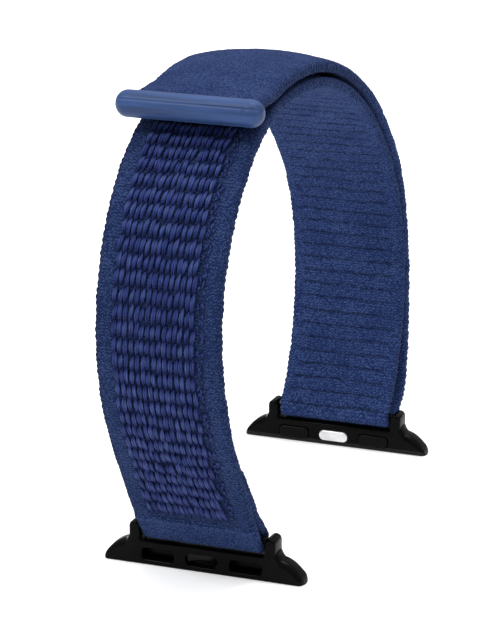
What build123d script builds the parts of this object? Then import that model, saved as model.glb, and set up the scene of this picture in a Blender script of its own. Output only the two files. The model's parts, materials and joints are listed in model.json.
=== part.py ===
from build123d import *
from math import cos, sin, radians, degrees
import os

# Hook-and-loop watch strap with two slide-in lugs, standing as a closed loop on its lugs.
# Frame: X across the strap, Y from the fixed lug (-Y) to the slide lug (+Y), Z up.
# The origin is at the middle of the footprint, at the lugs' base. All sizes are in mm.
# The strap is a side view in the YZ plane, extruded across X.

# ---------------------------------------------------------------- driving dimensions
STRAP_W = 19.6            # woven width
STRAP_T = 1.8             # webbing without its pile
PINCH_T = 1.4             # webbing squeezed round a pin
LAYER_GAP = 0.95          # between the two layers, filled by pile and hooks
PILE_H = 0.65
PILE_W = 13.0
PILE_SHIFT = -0.25        # the pile sits a little off the strap's middle
HOOK_T = 0.25
HOOK_W = 15.0
HOOK_SHORT = 2.0          # degrees of crown left bare beside the flap's root

LUG_L = 33.0              # along X, across the watch
LUG_D = 3.5               # along Y, wrist face to outer face
RAIL_H = 3.8              # rail below the strap slot
EAR_OUT = 12.0            # half distance over the ears
EAR_IN = 10.2             # half width of the strap slot
EAR_TOP = 6.9
WING_TIP_R = 0.4          # the wing's outline, as distances in from its tip and heights
WING_BULGE = (0.9, 2.1)
WING_TOP = (3.4, 3.4)
WING_HOLLOW = (0.3, 3.85)  # past the ear's side, where the wing sweeps up into the ear
WING_ROOT_Z = 4.7
RIM = 0.35                # rounding of the lug's outer rim
EDGE_BREAK = 0.12         # on the pin's ends and the button's face
SKID = (0.35, 0.9)        # chamfer along the wrist side of the base: depth, height
PIN_Z = 6.0
PIN_R = 0.55
PIN_CLEAR = 0.10          # pin to cloth
PIN_RECESS = 0.1          # pin's end below the ear's side
POCKET_L = 5.3
POCKET_H = 1.9
POCKET_R = 0.6
POCKET_PITCH = 7.2
POCKET_Z = 1.75
PAD_SEAT = 1.8            # pad's depth in its pocket
PAD_PROUD = 0.2
PAD_ROUND = 0.18          # round the pad's wrist face
BUTTON_PROUD = 0.15
BUTTON_T = 1.25
BUTTON_FIT = 0.05         # clearance round the button
BUTTON_TRAVEL = 0.5
FLANGE_GROW = 0.25        # the flange stands past the button's head all round
FLANGE_T = 0.3
CHAMBER = (0.5, 1.5)      # depths between which the button's flange runs
LEAF_T = 0.15
LEAF_W = 1.3
LEAF_END = 2.6            # depth of the leaf spring's ends

TAB_L = 23.0
TAB_R = 2.05
TAB_SHIFT = -0.4          # along X
TAB_END_R = 1.9
TAB_RUN = 11.2            # from where the flap leaves the shoulder to the tab's axis
TAB_BITE = 1.1            # from the tab's axis to the webbing's end
SEAM_HEADING = 149.0      # of the plane where the tab's two shells meet
SLOT_FIT = 0.05

# Wrist face of the band, walked from the fixed pin over the crown to the slide bar.
# Each arc is (radius, sweep), and every arc turns the same way.
FIXED_PIN_Y = -26.24
START_HEADING = 121.9
PRESS_L = 4.8             # flat heat-pressed run above the fixed pin
WELD_FROM = 6.2           # the tail is welded on between these distances from the pin
TAIL_L = 9.6
TAIL_TURN = 12.2          # the tail leaves the pin this much further over than the leg
FRONT_LEG = [(400.0, 2.4), (40.0, 20.0)]
SHOULDER = (29.4, 93.9)
REAR_CROWN = (55.98, 55.1)
REAR_LEG = (36.2, 76.49)
REAR_PILE_SWEEP = 62.0    # how far down the rear leg the pile goes
PINCH_RUN = 3.0           # the webbing thins over this length before the slide bar
BEND_GAP = 0.9            # bare length left at the front bend

# Return layer: from the crown it hangs free of the rear leg, down to the slide bar.
FLAP_ROOT = -33.0         # headings along the crown
FREE_FROM = -79.0
RETURN_LEG = (66.64, 21.0)
TURN_UP_R = 7.11
TURN_PINCH = 30.0         # last part of the turn, where the webbing thins again
FLAP_LEAVES = 10.0        # heading where the flap leaves the shoulder's curve
FLAP_END_R = 300.0

RETURN_LOW = STRAP_T + LAYER_GAP
RETURN_HIGH = RETURN_LOW + STRAP_T
PIN_NEAR = PIN_R + PIN_CLEAR
PIN_FAR = PIN_NEAR + PINCH_T


# ---------------------------------------------------------------- walking the strap's curve
def toward(heading):
    """Unit vector in the YZ plane, heading in degrees from +Y towards +Z."""
    return Vector(cos(radians(heading)), sin(radians(heading)))


def outward(heading):
    """Unit vector to the left of the heading: away from the wrist."""
    return toward(heading + 90)


def walk(station, arcs):
    """Where the curve is after these arcs. A station is (point, heading)."""
    here, heading = station
    for radius, sweep in arcs:
        centre = here - outward(heading) * radius
        heading = heading - sweep
        here = centre + outward(heading) * radius
    return here, heading


def sweep_of(length, radius):
    return degrees(length / radius)


def off(station, offset):
    """Point at this distance outward of a station."""
    point, heading = station
    return point + outward(heading) * offset


def face_line(station, arcs, offset):
    """Draw the arcs at this distance outward, and return both ends."""
    first = off(station, offset)
    here = first
    heading = station[1]
    for radius, sweep in arcs:
        arc = JernArc(here, toward(heading), radius + offset, -sweep)
        here = arc @ 1
        heading = heading - sweep
    return first, here


def ribbon(station, arcs, low, high, shift=0.0):
    """Side view of a layer of cloth between two distances from the curve."""
    with BuildSketch(Plane.YZ.offset(shift)) as side_view:
        with BuildLine():
            low_start, low_end = face_line(station, arcs, low)
            high_start, high_end = face_line(station, arcs, high)
            Line(low_start, high_start)
            Line(low_end, high_end)
        make_face()
    return side_view.sketch


def finish(piece, label):
    piece.part.label = label
    export_step(piece.part, f"parts/{label}.step")


os.makedirs("parts", exist_ok=True)

fixed_pin = Vector(FIXED_PIN_Y, PIN_Z)
fixed_end = (fixed_pin + outward(START_HEADING) * PIN_NEAR, START_HEADING)
pressed_end = (fixed_end[0] + toward(START_HEADING) * PRESS_L, START_HEADING)
front_bend = walk(pressed_end, FRONT_LEG)
bend_sweep = sweep_of(BEND_GAP, SHOULDER[0])
shoulder_start = walk(front_bend, [(SHOULDER[0], bend_sweep)])
crown_start = walk(front_bend, [SHOULDER])
rear_leg_start = walk(crown_start, [REAR_CROWN])
pinch_sweep = sweep_of(PINCH_RUN, REAR_LEG[0])
rear_end = walk(rear_leg_start, [(REAR_LEG[0], REAR_LEG[1] - pinch_sweep)])
bar_reached = walk(rear_leg_start, [REAR_LEG])
slide_bar_y = off(bar_reached, PIN_FAR).X
slide_bar = Vector(slide_bar_y, PIN_Z)

# ---------------------------------------------------------------- front leg and its fixed end
FULL_WEBBING = (0, STRAP_T)
PILE_LAYER = (STRAP_T, STRAP_T + PILE_H)

with BuildPart() as front_leg_webbing:
    extrude(ribbon(pressed_end, FRONT_LEG, *FULL_WEBBING), amount=STRAP_W / 2, both=True)
finish(front_leg_webbing, "front_leg_webbing")

with BuildPart() as front_leg_pile:
    extrude(ribbon(pressed_end, FRONT_LEG, *PILE_LAYER, PILE_SHIFT), amount=PILE_W / 2, both=True)
finish(front_leg_pile, "front_leg_pile")

tail_heading = START_HEADING + TAIL_TURN
tail_near = fixed_pin + toward(tail_heading - 90) * PIN_NEAR
tail_far = fixed_pin + toward(tail_heading - 90) * PIN_FAR
wrap_middle = toward((START_HEADING + 90 + tail_heading + 270) / 2)

with BuildPart() as fixed_wrap:
    with BuildSketch(Plane.YZ):
        with BuildLine():
            Line(pressed_end[0], off(pressed_end, STRAP_T))
            Line(off(pressed_end, STRAP_T), off(fixed_end, PINCH_T))
            ThreePointArc(off(fixed_end, PINCH_T), fixed_pin + wrap_middle * PIN_FAR, tail_far)
            Line(tail_far, tail_near)
            ThreePointArc(tail_near, fixed_pin + wrap_middle * PIN_NEAR, fixed_end[0])
            Line(fixed_end[0], pressed_end[0])
        make_face()
    extrude(amount=STRAP_W / 2, both=True)
finish(fixed_wrap, "fixed_wrap")

# The tail comes back up the wrist side and is welded to the leg's wrist face.
leg_r = FRONT_LEG[0][0]
weld_start = walk(pressed_end, [(leg_r, sweep_of(WELD_FROM - PRESS_L, leg_r))])
tail_end = walk(pressed_end, [(leg_r, sweep_of(TAIL_L - PRESS_L, leg_r))])

with BuildPart() as fixed_tail:
    with BuildSketch(Plane.YZ):
        with BuildLine():
            Polyline(
                tail_near,
                weld_start[0],
                tail_end[0],
                off(tail_end, -PINCH_T),
                off(weld_start, -PINCH_T),
                tail_far,
                close=True,
            )
        make_face()
    extrude(amount=STRAP_W / 2, both=True)
finish(fixed_tail, "fixed_tail")

# ---------------------------------------------------------------- band: shoulder, crown, rear leg
shoulder_arcs = [(SHOULDER[0], SHOULDER[1] - bend_sweep)]

with BuildPart() as shoulder_webbing:
    extrude(ribbon(shoulder_start, shoulder_arcs, *FULL_WEBBING), amount=STRAP_W / 2, both=True)
finish(shoulder_webbing, "shoulder_webbing")

with BuildPart() as shoulder_pile:
    extrude(ribbon(shoulder_start, shoulder_arcs, *PILE_LAYER, PILE_SHIFT), amount=PILE_W / 2, both=True)
finish(shoulder_pile, "shoulder_pile")

rear_arcs = [REAR_CROWN, (REAR_LEG[0], REAR_LEG[1] - pinch_sweep)]
rear_pile_arcs = [REAR_CROWN, (REAR_LEG[0], REAR_PILE_SWEEP)]

with BuildPart() as rear_webbing:
    extrude(ribbon(crown_start, rear_arcs, *FULL_WEBBING), amount=STRAP_W / 2, both=True)
finish(rear_webbing, "rear_webbing")

with BuildPart() as rear_pile:
    extrude(ribbon(crown_start, rear_pile_arcs, *PILE_LAYER, PILE_SHIFT), amount=PILE_W / 2, both=True)
finish(rear_pile, "rear_pile")

# ---------------------------------------------------------------- return layer and slide turn
crown_radius, crown_sweep = REAR_CROWN
flap_root = walk(crown_start, [(crown_radius, crown_start[1] - FLAP_ROOT)])
to_rear_leg = (crown_radius, FLAP_ROOT - rear_leg_start[1])
to_free = (REAR_LEG[0], rear_leg_start[1] - FREE_FROM)

# From here on the arcs are those of the return layer's own wrist face.
return_free = walk(rear_leg_start, [to_free])
hang_start = (off(return_free, RETURN_LOW), return_free[1])
turn_start = walk(hang_start, [RETURN_LEG])
turn_sweep = 180 + turn_start[1]
turn_pinched = walk(turn_start, [(TURN_UP_R, turn_sweep - TURN_PINCH)])
turn_end = walk(turn_start, [(TURN_UP_R, turn_sweep)])

with BuildPart() as return_webbing:
    with BuildSketch(Plane.YZ):
        with BuildLine():
            near_start, near_free = face_line(flap_root, [to_rear_leg, to_free], RETURN_LOW)
            far_start, far_free = face_line(flap_root, [to_rear_leg, to_free], RETURN_HIGH)
            Line(near_start, far_start)
            Line(near_free, far_free)
        make_face()
        with BuildLine():
            hang = [RETURN_LEG, (TURN_UP_R, turn_sweep - TURN_PINCH)]
            near_start, near_end = face_line(hang_start, hang, 0)
            far_start, far_end = face_line(hang_start, hang, STRAP_T)
            Line(near_start, far_start)
            Line(near_end, far_end)
        make_face()
    extrude(amount=STRAP_W / 2, both=True)
finish(return_webbing, "return_webbing")

under_near = slide_bar - Vector(0, PIN_NEAR)
under_far = slide_bar - Vector(0, PIN_FAR)
arrive_near = slide_bar - outward(bar_reached[1]) * PIN_NEAR
arrive_far = slide_bar - outward(bar_reached[1]) * PIN_FAR
turn_mid_heading = ((bar_reached[1] - 90) % 360 + 270) / 2

with BuildPart() as slide_turn:
    with BuildSketch(Plane.YZ):
        with BuildLine():
            Line(rear_end[0], off(rear_end, STRAP_T))
            Line(off(rear_end, STRAP_T), arrive_near)
            ThreePointArc(arrive_near, slide_bar + toward(turn_mid_heading) * PIN_NEAR, under_near)
            Line(under_near, turn_pinched[0])
            Line(turn_pinched[0], off(turn_pinched, STRAP_T))
            Line(off(turn_end, STRAP_T), under_far)
            JernArc(off(turn_pinched, STRAP_T), toward(turn_pinched[1]), TURN_UP_R + STRAP_T, -TURN_PINCH)
            ThreePointArc(under_far, slide_bar + toward(turn_mid_heading) * PIN_FAR, arrive_far)
            Line(arrive_far, rear_end[0])
        make_face()
    extrude(amount=STRAP_W / 2, both=True)
finish(slide_turn, "slide_turn")

# ---------------------------------------------------------------- flap: the strap's free end
shoulder_back = crown_start[1] - FLAP_LEAVES
leave = walk(crown_start, [(SHOULDER[0], shoulder_back)])
flap_end_run = TAB_RUN - TAB_BITE
leave_face = (off(leave, RETURN_LOW), leave[1])
flap_tip = walk(leave_face, [(FLAP_END_R, -sweep_of(flap_end_run, FLAP_END_R))])
tab_station = walk(leave_face, [(FLAP_END_R, -sweep_of(TAB_RUN, FLAP_END_R))])
tab_centre = off(tab_station, STRAP_T / 2)

with BuildPart() as flap_webbing:
    with BuildSketch(Plane.YZ):
        with BuildLine():
            over_crown = [(SHOULDER[0], -shoulder_back), (crown_radius, crown_start[1] - FLAP_ROOT)]
            near_start, near_root = face_line(leave, over_crown, RETURN_LOW)
            far_start, far_root = face_line(leave, over_crown, RETURN_HIGH)
            Line(near_start, far_start)
            Line(near_root, far_root)
        make_face()
        with BuildLine():
            straight = [(FLAP_END_R, sweep_of(flap_end_run, FLAP_END_R))]
            near_start, near_end = face_line(flap_tip, straight, 0)
            far_start, far_end = face_line(flap_tip, straight, STRAP_T)
            Line(near_start, far_start)
            Line(near_end, far_end)
        make_face()
    extrude(amount=STRAP_W / 2, both=True)
finish(flap_webbing, "flap_webbing")

hook_arcs = [(crown_radius, crown_start[1] - FLAP_ROOT - HOOK_SHORT)]
hook_layer = (RETURN_LOW - HOOK_T, RETURN_LOW)

with BuildPart() as hook_patch:
    extrude(ribbon(crown_start, hook_arcs, *hook_layer, PILE_SHIFT), amount=HOOK_W / 2, both=True)
finish(hook_patch, "hook_patch")


def tab_shell(turn):
    """Half of the end tab, on the side of the seam plane that this turn sweeps."""
    seam = Plane(
        origin=(TAB_SHIFT, tab_centre.X, tab_centre.Y),
        x_dir=(1, 0, 0),
        z_dir=(0, -sin(radians(SEAM_HEADING)), cos(radians(SEAM_HEADING))),
    )
    with BuildPart() as shell:
        with BuildSketch(seam):
            with BuildLine():
                end = TAB_L / 2
                lift = TAB_END_R * (1 - cos(radians(45)))
                side_r = TAB_R - TAB_END_R
                Line((-end, 0), (end, 0))
                Line((end, 0), (end, side_r))
                ThreePointArc((end, side_r), (end - lift, TAB_R - lift), (end - TAB_END_R, TAB_R))
                Line((end - TAB_END_R, TAB_R), (TAB_END_R - end, TAB_R))
                ThreePointArc((TAB_END_R - end, TAB_R), (lift - end, TAB_R - lift), (-end, side_r))
                Line((-end, TAB_R - TAB_END_R), (-end, 0))
            make_face()
        revolve(axis=Axis(seam.origin, seam.x_dir), revolution_arc=turn)
        with BuildSketch(Plane.YZ):
            with BuildLine():
                slot_arcs = [(FLAP_END_R, sweep_of(2 * TAB_R, FLAP_END_R))]
                near_start, near_end = face_line(flap_tip, slot_arcs, -SLOT_FIT)
                far_start, far_end = face_line(flap_tip, slot_arcs, STRAP_T + SLOT_FIT)
                Line(near_start, far_start)
                Line(near_end, far_end)
            make_face()
        extrude(amount=STRAP_W / 2 + SLOT_FIT, both=True, mode=Mode.SUBTRACT)
    return shell


tab_cap = tab_shell(-180)
finish(tab_cap, "tab_cap")
tab_base = tab_shell(180)
finish(tab_base, "tab_base")


# ---------------------------------------------------------------- slide-in lugs
def between(pin_y, out, near, far):
    """Sketch plane and thickness for a slab between two depths from the wrist face."""
    first = pin_y + out * (near - LUG_D / 2)
    last = pin_y + out * (far - LUG_D / 2)
    return Plane.XZ.offset(-max(first, last)), abs(last - first)


def lug_outline(plane):
    """Rail with a wing past each ear, and the two ears that hold the pin."""
    tip = LUG_L / 2
    tip_mid = WING_TIP_R * (1 - cos(radians(45)))
    bulge_in, bulge_z = WING_BULGE
    top_in, top_z = WING_TOP
    hollow_out, hollow_z = WING_HOLLOW
    ear_middle = (EAR_OUT + EAR_IN) / 2
    ear_r = (EAR_OUT - EAR_IN) / 2
    with BuildSketch(plane) as outline:
        with BuildLine():
            Line((0, 0), (tip - WING_TIP_R, 0))
            ThreePointArc((tip - WING_TIP_R, 0), (tip - tip_mid, tip_mid), (tip, WING_TIP_R))
            ThreePointArc((tip, WING_TIP_R), (tip - bulge_in, bulge_z), (tip - top_in, top_z))
            ThreePointArc((tip - top_in, top_z), (EAR_OUT + hollow_out, hollow_z), (EAR_OUT, WING_ROOT_Z))
            Line((EAR_OUT, WING_ROOT_Z), (EAR_OUT, EAR_TOP - ear_r))
            ThreePointArc((EAR_OUT, EAR_TOP - ear_r), (ear_middle, EAR_TOP), (EAR_IN, EAR_TOP - ear_r))
            Line((EAR_IN, EAR_TOP - ear_r), (EAR_IN, RAIL_H))
            Line((EAR_IN, RAIL_H), (0, RAIL_H))
            mirror(about=Plane.YZ)
        make_face()
    return outline.sketch


def lug_frame(pin_y, out):
    with BuildPart() as frame:
        plane, depth = between(pin_y, out, 0, LUG_D)
        extrude(lug_outline(plane), amount=depth)
        outer_face = frame.faces().sort_by(Axis.Y)[-1 if out > 0 else 0]
        fillet(outer_face.edges(), radius=RIM)
        wrist_y = pin_y - out * LUG_D / 2
        with BuildSketch(Plane.YZ):
            with BuildLine():
                Polyline(
                    (wrist_y, 0),
                    (wrist_y + out * SKID[0], 0),
                    (wrist_y, SKID[1]),
                    close=True,
                )
            make_face()
        extrude(amount=LUG_L / 2, both=True, mode=Mode.SUBTRACT)
        with BuildSketch(plane):
            with Locations((-POCKET_PITCH, POCKET_Z), (POCKET_PITCH, POCKET_Z)):
                RectangleRounded(POCKET_L, POCKET_H, POCKET_R)
            with Locations((0, POCKET_Z)):
                SlotOverall(POCKET_L, POCKET_H)
        extrude(amount=depth, mode=Mode.SUBTRACT)
        chamber_plane, chamber_depth = between(pin_y, out, CHAMBER[0], CHAMBER[1])
        with BuildSketch(chamber_plane):
            with Locations((0, POCKET_Z)):
                grow = 2 * (FLANGE_GROW + BUTTON_FIT)
                SlotOverall(POCKET_L + grow, POCKET_H + grow)
        extrude(amount=chamber_depth, mode=Mode.SUBTRACT)
        with BuildSketch(Plane.YZ):
            with Locations((pin_y, PIN_Z)):
                Circle(PIN_R)
        extrude(amount=LUG_L / 2, both=True, mode=Mode.SUBTRACT)
    return frame


def cross_pin(pin_y):
    with BuildPart() as pin:
        with BuildSketch(Plane.YZ):
            with Locations((pin_y, PIN_Z)):
                Circle(PIN_R)
        extrude(amount=EAR_OUT - PIN_RECESS, both=True)
        chamfer(pin.edges().filter_by(GeomType.CIRCLE), length=EDGE_BREAK)
    return pin


def pad(pin_y, out, x):
    with BuildPart() as block:
        plane, depth = between(pin_y, out, -PAD_PROUD, PAD_SEAT)
        with BuildSketch(plane):
            with Locations((x, POCKET_Z)):
                RectangleRounded(POCKET_L, POCKET_H, POCKET_R)
        extrude(amount=depth)
        wrist_face = block.faces().sort_by(Axis.Y)[0 if out > 0 else -1]
        fillet(wrist_face.edges(), radius=PAD_ROUND)
    return block


def button(pin_y, out):
    """Pill-shaped latch button, with a flange that keeps it in its pocket."""
    with BuildPart() as latch:
        plane, depth = between(pin_y, out, -BUTTON_PROUD, BUTTON_T - BUTTON_PROUD)
        with BuildSketch(plane):
            with Locations((0, POCKET_Z)):
                SlotOverall(POCKET_L - 2 * BUTTON_FIT, POCKET_H - 2 * BUTTON_FIT)
        extrude(amount=depth)
        wrist_face = latch.faces().sort_by(Axis.Y)[0 if out > 0 else -1]
        fillet(wrist_face.edges(), radius=EDGE_BREAK)
        first = CHAMBER[0] + BUTTON_FIT
        plane, depth = between(pin_y, out, first, first + FLANGE_T)
        with BuildSketch(plane):
            with Locations((0, POCKET_Z)):
                SlotOverall(POCKET_L + 2 * FLANGE_GROW, POCKET_H + 2 * FLANGE_GROW)
        extrude(amount=depth)
    return latch


def leaf_spring(pin_y, out):
    """Thin bowed leaf behind the button, its ends against the pocket's ends."""
    end_x = POCKET_L / 2 - LEAF_T
    crown = BUTTON_T - BUTTON_PROUD + BUTTON_TRAVEL + BUTTON_FIT
    wrist_y = pin_y - out * LUG_D / 2
    with BuildPart() as leaf:
        with BuildSketch(Plane.XY.offset(POCKET_Z)):
            with BuildLine():
                ThreePointArc(
                    (-end_x, wrist_y + out * LEAF_END),
                    (0, wrist_y + out * crown),
                    (end_x, wrist_y + out * LEAF_END),
                )
                ThreePointArc(
                    (-end_x, wrist_y + out * (LEAF_END + LEAF_T)),
                    (0, wrist_y + out * (crown + LEAF_T)),
                    (end_x, wrist_y + out * (LEAF_END + LEAF_T)),
                )
                for side in (-1, 1):
                    Line(
                        (side * end_x, wrist_y + out * LEAF_END),
                        (side * end_x, wrist_y + out * (LEAF_END + LEAF_T)),
                    )
            make_face()
        extrude(amount=LEAF_W / 2, both=True)
    return leaf


for end_name, pin_y, out, pin_name in (
    ("fixed", FIXED_PIN_Y, -1, "fixed_cross_pin"),
    ("slide", slide_bar_y, 1, "slide_bar"),
):
    finish(lug_frame(pin_y, out), f"{end_name}_lug_frame")
    finish(cross_pin(pin_y), pin_name)
    finish(pad(pin_y, out, -POCKET_PITCH), f"{end_name}_pad_left")
    finish(pad(pin_y, out, POCKET_PITCH), f"{end_name}_pad_right")
    finish(button(pin_y, out), f"{end_name}_button")
    finish(leaf_spring(pin_y, out), f"{end_name}_leaf_spring")
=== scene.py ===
import json
import math
import random

import bmesh
import bpy
import numpy as np
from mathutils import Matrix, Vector


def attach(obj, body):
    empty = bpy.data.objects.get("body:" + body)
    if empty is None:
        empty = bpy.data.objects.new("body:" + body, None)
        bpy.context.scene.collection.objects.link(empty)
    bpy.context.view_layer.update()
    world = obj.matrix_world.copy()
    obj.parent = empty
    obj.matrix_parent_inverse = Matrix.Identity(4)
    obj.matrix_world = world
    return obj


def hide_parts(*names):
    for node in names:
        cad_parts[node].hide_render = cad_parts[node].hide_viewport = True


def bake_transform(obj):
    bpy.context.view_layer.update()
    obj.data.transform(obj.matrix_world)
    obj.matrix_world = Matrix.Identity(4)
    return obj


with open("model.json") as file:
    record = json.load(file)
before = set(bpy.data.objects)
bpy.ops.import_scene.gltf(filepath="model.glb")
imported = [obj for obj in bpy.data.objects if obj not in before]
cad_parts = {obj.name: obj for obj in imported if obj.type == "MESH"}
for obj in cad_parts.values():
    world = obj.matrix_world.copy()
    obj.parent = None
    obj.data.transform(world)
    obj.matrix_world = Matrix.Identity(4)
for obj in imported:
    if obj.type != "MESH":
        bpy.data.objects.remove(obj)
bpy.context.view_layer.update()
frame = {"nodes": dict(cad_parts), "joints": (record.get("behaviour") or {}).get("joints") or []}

# A woven hook-and-loop watch strap on two slide-in lugs. Lengths are in millimetres until
# a mesh is made, and MM turns them into metres. Paths lie in the YZ plane.
MM = 0.001

# The webbing
STRAP_W = 19.6
STRAP_T = 1.8
PINCH_T = 1.4             # the webbing's thickness where it goes round a pin
LAYER_GAP = 0.95          # room for the pile under the return layer
PIN_NEAR = 0.65           # from a pin's axis to the webbing round it
PIN_MID = PIN_NEAR + PINCH_T / 2
STEP = 0.23               # length between two rings of a strap's mesh
SOFTEN = 1.6              # the mid-lines' corners are softened over this many rings
ACROSS = 46               # faces across each side of a strap
EDGE_X = 0.55             # how far the selvedge rounds in from the strap's side
EDGE_TURN = (60, 30, 0, -30, -60)
SELVEDGE_W = 1.2
KNOT_PITCH = 0.98         # small knots of yarn along the selvedges
KNOT_H = 0.1
KNOT_OUT = 0.2
KNOT_MEAN = 0.6
SIDE_WANDER = (0.1, 1.1)  # how far a strap's sides waver, over what length
SIDE_DRIFT = (0.09, 9.0)
GRAIN = ((0.035, 0.6), (0.03, 1.5))
RIB_PITCH = 2.4           # one groove on the wrist face for each row of pile
RIB_W = 0.22
RIB_DEPTH = 0.12
RIB_MARGIN = 1.3          # the ribs fade out this far from the strap's sides
RIB_FADE = 0.7
RIBS_FROM = 12.0          # the wrist face has no ribs over the welded tail
BED_DEPTH = 0.14          # the pile stands in a shallow bed
RIDGE_H = 0.3             # ridge where the pressed end stops
RIDGE_W = 0.5

# The band's path: headings in degrees, and arcs as (radius, sweep)
START_HEADING = 121.9
PRESS_L = 4.8             # length of the pressed end over the fixed pin
WELD_FROM = 6.2           # the tail lies on the band from here, at full thickness up to TAIL_L
TAIL_L = 9.6
TAIL_FEATHER = 8.0        # the tail's pressed end thins out over this length
TAIL_TIP_T = 0.1
TAIL_SINK = 0.04          # how deep the tail is welded into the band
TAIL_HEADING = START_HEADING + 12.2
FRONT_LEG = [(400.0, 2.4), (40.0, 20.0)]
SHOULDER = (29.4, 93.9)
REAR_CROWN = (55.98, 55.1)
REAR_LEG = (36.2, 76.49)
PINCH_RUN = 3.0           # the webbing thins over this length at the slide bar

# The return layer's path, from the slide bar to the tab
BAR_UNDER = 262.0         # angle round the slide bar where the two straps meet
FREE_FROM = -79.0         # heading where it leaves the band's curve
RETURN_LEG = (66.64, 21.0)
TURN_UP = (7.11, 80.0)
TURN_PINCH = 30.0         # last part of that turn, where the webbing thins to PINCH_T
FLAP_LEAVES = 10.0        # heading where it leaves the shoulder's arc
FLAP_END_R = 300.0
FLAP_LIFT = (-0.35, 0.8)  # how far the flap stands off its pile at its edges and middle
BOW_FROM = 62.0           # measured back from the flap's end, and over BOW_RUN it sets in
BOW_RUN = 18.0
TAB_RUN = 11.2            # from there to the tab's middle
TAB_BITE = 1.1            # the webbing stops this short of it, inside the tab
TAB_LIFT = 0.6            # the flap's free end stands this much off the pile

# The pile and the hooks
PILE_H = 0.66
PILE_SIDES = (-6.9, 6.2)  # the rows of loops, and past them a ragged dark margin
RAGGED_TO = 7.4
LOOP_PITCH = 0.86
LOW_PART = (8.0, 42.0)    # between these lengths the rows go from half-set to straight columns
LOOP_L = (2.9, 0.4)       # a loop's length, and what the half-set rows add to it
LOOP_LEAN = (0.27, -0.8)  # its sideways lean, the same way
RAGGED_LOOPS = 5          # loose strands in the margin, for each row
REAR_PILE_L = 92.0
ROOT_DEPTH = 0.1          # yarn starts this far below the cloth's face
HOOK_W = 15.0
HOOK_PITCH = 0.62
HOOK_START = 1.5          # from the flap's hinge
HOOK_END = 2.0            # the hooks stop this short of the tab
# radius and height of a hook's rings, from its root to its crown
HOOK_PROFILE = ((0.09, -0.05), (0.06, 0.16), (0.13, 0.2), (0.07, 0.26))

# Materials
CRINKLE_SCALE = 3.1       # noise cells in each millimetre
STITCH_SCALE = 3.7
TWILL_PITCH = 0.5
TWILL_W = 0.38            # half the width of the twill's zigzag
WEAR_AND_SHEEN_SCALE = 420.0        # noise cells in each metre
GLOSS_SPREAD = 0.12

# The end tab, a capsule
TAB_L = 23.0
TAB_R = 2.05
TAB_END_R = 1.9           # the rounds at its ends
TAB_SHIFT = -0.4
TAB_SEAM = 0.08           # depth of the parting line between its halves
SEAM_HEADING = 149.0
TICK_X = 9.0              # a faint moulding tick near its right end
TICK_DEPTH = 0.16
TICK_W = 0.16
TICK_TURN = 14            # degrees past the seam
TICK_SPAN = 24            # degrees that it fades over

# The lugs
LUG_L = 33.0
LUG_D = 3.5
RAIL_H = 3.8
EAR_OUT = 12.0
EAR_IN = 10.2
EAR_TOP = 6.9
EAR_STEPS = 14            # straight pieces in the round of its top
EAR_ROUND = 0.42
EAR_INSET = 0.01          # the ear's faces lie this far inside the rail's
RAIL_PAST_EAR = 1.2       # the rail runs on this far inside the wing
EDGE_ROUND = 0.22
SKID = (0.35, 0.85)       # the rail's slope on its wrist side: depth and height
SKID_REACH = 0.8
WING_IN = EAR_OUT - 0.5
WING_STEPS = 44
WING_H = 3.7
WING_UP_EAR = (1.2, 0.9)  # the wing sweeps up into the ear: height and length
WING_SHARP = 0.74         # 0.5 would make the wing's top an ellipse
WING_CROWN = 1.15
WING_SOLE = 0.18
WING_INSET = 0.012        # its faces lie this far inside the rail's
TIP_H = 0.16
TIP_TURN = 0.85           # the wing's end is round seen from above, over this length
POCKET_L = 5.3
POCKET_H = 1.9
POCKET_R = 0.6
POCKET_PITCH = 7.2
POCKET_Z = 1.75
PAD_SPAN = (-0.2, 1.8)    # depths from the lug's wrist side, as the button's are
PAD_ROOM = 0.06
BUTTON_SPAN = (-0.15, 1.1)
BUTTON_ROOM = 0.1
BUTTON_ROUND = 0.2

# The stage, in metres
FLOOR_REACH = 6.0
FLOOR_DOWN = 0.00005      # the floor lies just under the lugs
LIT_AT = (0, 0, 0.03)     # where the lights point

# The camera
AZIMUTH = math.radians(20.85)
ELEVATION = math.radians(16.97)
DISTANCE = 430.8
LENS = 159.08
LOOK_AT = (0.0, -6.99, 35.59)

joints = {j["name"]: j for j in frame["joints"]}


def joint_yz(name):
    """A hinge's place in the YZ plane, in millimetres."""
    return np.array(joints[name]["pos_m"][1:]) / MM


fixed_pin = joint_yz("fixed_lug_pivot")
slide_bar = joint_yz("slide_lug_pivot")


# ---- paths
def toward(heading):
    """Unit vector along a heading in degrees."""
    return np.array([math.cos(math.radians(heading)), math.sin(math.radians(heading))])


def left_of(headings):
    """Unit vectors a quarter turn anticlockwise from headings."""
    angle = np.radians(np.asarray(headings, float) + 90)
    return np.stack([np.cos(angle), np.sin(angle)], axis=-1)


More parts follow.
